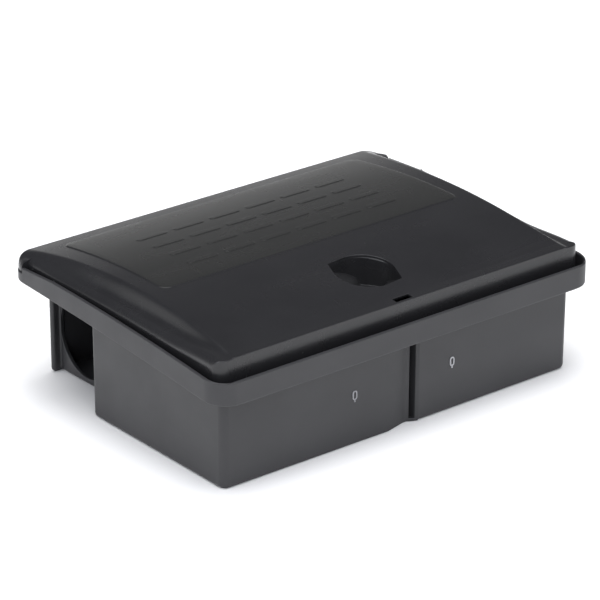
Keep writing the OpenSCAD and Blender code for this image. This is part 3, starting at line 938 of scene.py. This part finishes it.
def well_border():
    """Places of the grid round the key well's window."""
    border = [(i, WINDOW_J[0]) for i in WINDOW_I]
    border += [(WINDOW_I[-1], j) for j in WINDOW_J[1:]]
    border += [(i, WINDOW_J[-1]) for i in reversed(WINDOW_I[:-1])]
    border += [(WINDOW_I[0], j) for j in reversed(WINDOW_J[1:-1])]
    return border


def well_angles(border):
    """Directions of the border from the key hole, with one at each tip of the well."""
    angles = [math.atan2(GRID_Y[j] - WELL_Y, GRID_X[i]) for i, j in border]
    for tip in (WELL_TURN + math.pi / 2, WELL_TURN - math.pi / 2):
        nearest = min(range(len(angles)), key=lambda k: abs(angles[k] - tip))
        angles[nearest] = tip
    return angles


def add_key_well(shell, top_grid, under_grid):
    """The key well: its wall with a bead, its floor with two ramps, the key hole, and the
    outside of all that under the lid."""
    border = well_border()
    angles = well_angles(border)
    bottom_z = WELL_Z - WELL_WALL

    def outline(grow):
        """The well's outline, made wider by grow, which may be a list with one per angle."""
        grows = grow if isinstance(grow, list) else [grow] * len(angles)
        return [well_point(a, well_reach(a, g)) for a, g in zip(angles, grows)]

    def ring(grow, heights):
        return shell.add([(*place, z) for place, z in zip(outline(grow), heights)])

    def patch(index, height, grow):
        """Rings from the window's border to the well's outline."""
        made = [[index[place] for place in border]]
        for share in (0.35, 0.7, 1.0):
            row = []
            for (i, j), (x, y) in zip(border, outline(grow)):
                x = GRID_X[i] * (1 - share) + x * share
                y = GRID_Y[j] * (1 - share) + y * share
                row.append((x, y, height(x, y)))
            made.append(shell.add(row))
        return made

    # the brink and the wall
    rows = patch(top_grid, top_z, BRINK_R)
    brink = [top_z(x, y) for x, y in outline(BRINK_R)]
    for turn in fillet(4)[1:]:
        drop = BRINK_R * (1 - math.cos(turn))
        rows.append(ring(BRINK_R * (1 - math.sin(turn)), [z - drop for z in brink]))
    for share, drop in BEAD_STEPS:
        rows.append(ring([-bead(a) * share for a in angles], [z - drop for z in brink]))
    beads = [-bead(a) for a in angles]
    feet = [min(well_floor(x, y) + FLOOR_R, z - 2.2) for (x, y), z in zip(outline(beads), brink)]
    for share in (0.33, 0.66):
        rows.append(ring(beads, [(z - BEAD_FOOT) * (1 - share) + foot * share
                                 for z, foot in zip(brink, feet)]))

    # the floor, down to the key hole
    for turn in fillet(3):
        grows = [b - FLOOR_R * (1 - math.cos(turn)) for b in beads]
        rows.append(ring(grows, [
            min(well_floor(x, y), z - 2.6) + FLOOR_R * (1 - math.sin(turn))
            for (x, y), z in zip(outline(grows), brink)]))
    for share in FLOOR_SHARES:
        row = []
        for a, b in zip(angles, beads):
            reach = well_reach(a, b - FLOOR_R) * (1 - share) + (KEY_R + KEY_EDGE) * share
            x, y = well_point(a, reach)
            row.append((x, y, min(well_floor(x, y), float(crown_z(y)) - 2.6)))
        rows.append(shell.add(row))
    for reach, z in ((KEY_R + 0.15, WELL_Z - 0.15), (KEY_R, WELL_Z - KEY_EDGE),
                     (KEY_R, bottom_z + 0.4), (KEY_R + 0.4, bottom_z)):
        rows.append(shell.add([(*well_point(a, reach), z) for a in angles]))

    # the outside, up to the lid's underside
    for grow, z in ((WELL_WALL - 0.4, bottom_z), (WELL_WALL, bottom_z + 0.4)):
        rows.append(ring(grow, [z] * len(angles)))
    ceiling = [under_z(x, y) for x, y in outline(WELL_WALL + UNDER_R)]
    for turn in fillet(3):
        drop = UNDER_R * (1 - math.sin(turn))
        rows.append(ring(WELL_WALL + UNDER_R * (1 - math.cos(turn)), [z - drop for z in ceiling]))
    below = patch(under_grid, under_z, WELL_WALL + UNDER_R)
    shell.join(rows + below[-2::-1])


PANEL_STEPS = (30, 24, 8)       # along a long side, a short side and a corner
PANEL_EDGE = 0.9
PANEL_SINK = 0.4                # the panel goes this far into the lid


def panel_outline(inset):
    """Points of the raised panel's outline: the same number on each side for every inset."""
    points = []
    r = PANEL_CORNER
    long_steps, short_steps, corner_steps = PANEL_STEPS
    x0, x1 = -PANEL_HALF + r, PANEL_HALF - r
    y0, y1 = PANEL_Y[0] + r, PANEL_Y[1] - r
    runs = (((x0, y0), (x1, y0), -90.0, long_steps), ((x1, y0), (x1, y1), 0.0, short_steps),
            ((x1, y1), (x0, y1), 90.0, long_steps), ((x0, y1), (x0, y0), 180.0, short_steps))
    for start, stop, heading, steps in runs:
        out = (math.cos(math.radians(heading)), math.sin(math.radians(heading)))
        for k in range(steps + 1):
            share = k / steps
            points.append((start[0] + (stop[0] - start[0]) * share + out[0] * (r - inset),
                           start[1] + (stop[1] - start[1]) * share + out[1] * (r - inset)))
        for k in range(1, corner_steps):
            a = math.radians(heading + 90.0 * k / corner_steps)
            points.append((stop[0] + (r - inset) * math.cos(a),
                           stop[1] + (r - inset) * math.sin(a)))
    return points


def on_crown(points, lift):
    """Points at a height over the lid's crown."""
    return [(x, y, float(crown_z(y)) + lift) for x, y in points]


def add_panel(shell):
    """Raised panel with a smooth top that follows the crown."""
    section = ((0.0, -PANEL_SINK), (0.0, 0.0), (PANEL_EDGE * 0.3, PANEL_RISE * 0.7),
               (PANEL_EDGE, PANEL_RISE))
    rings = [shell.add(on_crown(panel_outline(inset), lift)) for inset, lift in section]
    shell.join(rings)
    long_steps, short_steps, corner_steps = PANEL_STEPS
    r = PANEL_CORNER
    xs = [(-PANEL_HALF + r) + 2 * (PANEL_HALF - r) * k / long_steps for k in range(long_steps + 1)]
    ys = [PANEL_Y[0] + r + (PANEL_Y[1] - PANEL_Y[0] - 2 * r) * k / short_steps
          for k in range(short_steps + 1)]
    index = {(i, j): shell.add(on_crown([(x, y)], PANEL_RISE))[0]
             for j, y in enumerate(ys) for i, x in enumerate(xs)}
    for j in range(short_steps):
        for i in range(long_steps):
            shell.face(index[i, j], index[i + 1, j], index[i + 1, j + 1], index[i, j + 1])
    inner = []
    sides = ([(i, 0) for i in range(long_steps + 1)],
             [(long_steps, j) for j in range(short_steps + 1)],
             [(i, short_steps) for i in range(long_steps, -1, -1)],
             [(0, j) for j in range(short_steps, -1, -1)])
    for places in sides:
        inner.extend(index[p] for p in places)
        inner.extend([index[places[-1]]] * (corner_steps - 1))
    shell.bridge(rings[-1], inner)
    floor_row = shell.add(on_crown(panel_outline(2.0), -PANEL_SINK))
    shell.bridge(rings[0], floor_row)
    shell.faces.append(floor_row[::-1])


BAR_ROWS = 4
BAR_COLUMNS = 6
BAR_FIRST = (-57.5, 84.0)
BAR_PITCH = (23.0, 14.0)
BAR_HALF = 9.5                  # half its length
BAR_R = 2.0
BAR_RISE = 0.26
BAR_STEPS = 8


def add_bar(shell, x, y):
    """Low plain bar with round ends, on the panel."""
    ends = ((x + BAR_HALF - BAR_R, -90.0), (x - BAR_HALF + BAR_R, 90.0))
    turns = [(cx, math.radians(start + 180.0 * k / BAR_STEPS))
             for cx, start in ends for k in range(BAR_STEPS + 1)]
    rings = []
    for inset, lift in ((0.0, -0.3), (0.0, 0.05), (0.2, BAR_RISE * 0.75), (0.45, BAR_RISE)):
        r = BAR_R - inset
        row = [(cx + r * math.cos(a), y + r * math.sin(a)) for cx, a in turns]
        rings.append(shell.add(on_crown(row, PANEL_RISE + lift)))
    shell.join(rings)
    shell.cap(rings[0], rings[-1])


KNUCKLE_EDGE = 0.35


def add_knuckle(shell, x):
    """Hinge knuckle with its bore, and the block that joins it to the lid."""
    r, w, e = KNUCKLE_R, KNUCKLE_W, KNUCKLE_EDGE
    section = ((PIN_BORE, 0.0), (r - e, 0.0), (r - 0.1, 0.1), (r, e),
               (r, w - e), (r - 0.1, w - 0.1), (r - e, w), (PIN_BORE, w))
    shell.lathe(section, (x - w / 2, HINGE_Y, HINGE_Z), (1, 0, 0), closed=True)
    shell.rounded_block((x - w / 2, LID_BACK - LID_WALL, HINGE_Z + 1.2),
                        (x + w / 2, HINGE_Y + 0.3, HINGE_Z + r), e)


BOSS_X = 17.5                   # bosses for the latch screws
BOSS_Y = 57.0
BOSS_R = 3.6
BOSS_FOOT = 51.4
BOSS_TOP = 75.9
BOSS_EDGE = 0.2
SCREW_BORE = 1.4
BORE_TOP = 61.4


def add_screw_boss(shell, x):
    """Round boss under the lid, with a blind bore for a screw."""
    section = ((0.0, BORE_TOP), (SCREW_BORE, BORE_TOP), (SCREW_BORE, BOSS_FOOT + BOSS_EDGE),
               (SCREW_BORE + BOSS_EDGE, BOSS_FOOT), (BOSS_R - BOSS_EDGE, BOSS_FOOT),
               (BOSS_R, BOSS_FOOT + BOSS_EDGE), (BOSS_R, BOSS_TOP), (0.0, BOSS_TOP))
    shell.lathe(section, (x, BOSS_Y, 0.0), (0, 0, 1))


def lid_shell():
    """The lid: top, skirt and underside with the key well as one closed skin, then the
    panel, its bars, the hinge knuckles and the screw bosses."""
    shell = Shell()
    columns = lid_columns()
    top_grid = inner_grid(shell, top_z)
    under_grid = inner_grid(shell, under_z)
    add_skirt(shell, columns, lid_rings(shell, columns, top_grid, under_grid))
    add_key_well(shell, top_grid, under_grid)
    add_panel(shell)
    for row in range(BAR_ROWS):
        for column in range(BAR_COLUMNS):
            add_bar(shell, BAR_FIRST[0] + BAR_PITCH[0] * column, BAR_FIRST[1] + BAR_PITCH[1] * row)
    for side in (-1, 1):
        add_knuckle(shell, side * HINGE_X)
    for side in (-1, 1):
        add_screw_boss(shell, side * BOSS_X)
    return shell


lid = lid_shell()
piece("lid_shell", lid.points, lid.faces, "lid", LID, sharp=40.0, replaces=["lid"])


# ---- camera, light and floor ----

CAMERA_AZIMUTH = -38.88         # degrees
CAMERA_ELEVATION = 23.76
CAMERA_TARGET = Vector((-4.18, -4.1, 44.0)) * MM
CAMERA_DISTANCE = 1.6566
CAMERA_LENS = 197.7             # mm, for a sensor of the next width
CAMERA_SENSOR = 36.0


def direction(azimuth, elevation):
    """Unit vector away from the object: azimuth 0 is the front, angles in degrees."""
    a, e = math.radians(azimuth), math.radians(elevation)
    return Vector((math.sin(a) * math.cos(e), -math.cos(a) * math.cos(e), math.sin(e)))


def aim(obj, azimuth, elevation, distance, target):
    """Puts an object at a distance from a target, in metres, and turns it to face it."""
    out = direction(azimuth, elevation)
    obj.location = target + out * distance
    obj.rotation_euler = out.to_track_quat("Z", "Y").to_euler()


camera = new_object("camera", bpy.data.cameras.new("camera"))
aim(camera, CAMERA_AZIMUTH, CAMERA_ELEVATION, CAMERA_DISTANCE, CAMERA_TARGET)
camera.data.lens = CAMERA_LENS
camera.data.sensor_width = CAMERA_SENSOR
camera.data.clip_start = 0.05
camera.data.clip_end = 30.0
bpy.context.scene.camera = camera

FLOOR_HALF = 6.0                # metres
FLOOR_Z = -0.1 * MM
corners = [(x * FLOOR_HALF, y * FLOOR_HALF, FLOOR_Z)
           for x, y in ((-1, -1), (1, -1), (1, 1), (-1, 1))]
floor_mesh = bpy.data.meshes.new("floor")
floor_mesh.from_pydata(corners, [], [(0, 1, 2, 3)])
floor = new_object("floor", floor_mesh)
paper, paper_tree, paper_shader = new_material("pale_paper")
paper_shader.inputs["Base Color"].default_value = (0.86, 0.86, 0.86, 1)
paper_shader.inputs["Roughness"].default_value = 0.9
paper_shader.inputs["Specular IOR Level"].default_value = 0.1
floor_mesh.materials.append(paper)

LIGHT_TARGET = Vector((0, 0, 40.0)) * MM
DAYLIGHT = (0.93, 0.95, 1.0)


def softbox(name, azimuth, elevation, distance, size, power, colour=(1, 1, 1)):
    """Square area light that faces the object; angles in degrees, metres and watts."""
    light = bpy.data.lights.new(name, "AREA")
    light.shape = "SQUARE"
    light.size = size
    light.energy = power
    light.color = colour
    obj = new_object(name, light)
    aim(obj, azimuth, elevation, distance, LIGHT_TARGET)
    return obj


# the wide overhead light is for soft shade only, and the small one gives the highlights
softbox("overhead_softbox", 0.0, 90.0, 2.2, 2.4, 58.0).visible_glossy = False
softbox("top_highlight", 0.0, 90.0, 2.2, 0.75, 8.0)
softbox("left_softbox", -85.0, 35.0, 2.0, 1.2, 9.0, DAYLIGHT)
softbox("front_softbox", -10.0, 40.0, 2.2, 1.2, 9.0, DAYLIGHT)

world = bpy.data.worlds.new("studio")
bpy.context.scene.world = world
world.use_nodes = True
sky = world.node_tree
view = new_node(sky, "TexCoord", {}).outputs["Generated"]
upwards = split_up(sky, view)[2]


def sky_ramp(stops):
    """Colour of one side of the studio over the sine of the elevation."""
    ramp = sky.nodes.new("ShaderNodeValToRGB")
    elements = ramp.color_ramp.elements
    while len(elements) < len(stops):
        elements.new(0.5)
    for element, (position, colour) in zip(elements, stops):
        element.position = position
        element.color = (*colour, 1.0)
    sky.links.new(upwards, ramp.inputs["Fac"])
    return ramp.outputs["Color"]


far_side = sky_ramp((
    (0.00, (1.00, 1.00, 1.00)), (0.12, (0.64, 0.64, 0.64)), (0.19, (0.39, 0.39, 0.39)),
    (0.27, (0.17, 0.17, 0.175)), (0.42, (0.08, 0.08, 0.085)), (0.62, (0.035, 0.035, 0.04)),
    (0.84, (0.04, 0.04, 0.045)), (0.92, (0.85, 0.85, 0.88))))
near_side = sky_ramp((
    (0.00, (1.00, 1.00, 1.00)), (0.30, (0.76, 0.78, 0.84)), (0.70, (0.68, 0.70, 0.76)),
    (1.00, (0.90, 0.90, 0.94))))
towards = sky.nodes.new("ShaderNodeVectorMath")
towards.operation = "DOT_PRODUCT"
towards.inputs[1].default_value = direction(CAMERA_AZIMUTH, 0.0)
sky.links.new(view, towards.inputs[0])
nearness = ranged(sky, towards.outputs["Value"], 0.0, 1.0, -0.15, 0.35)
sky.links.new(mixed(sky, nearness, far_side, near_side), sky.nodes["Background"].inputs["Color"])
sky.nodes["Background"].inputs["Strength"].default_value = 1.0

bpy.context.scene.view_settings.view_transform = "Standard"
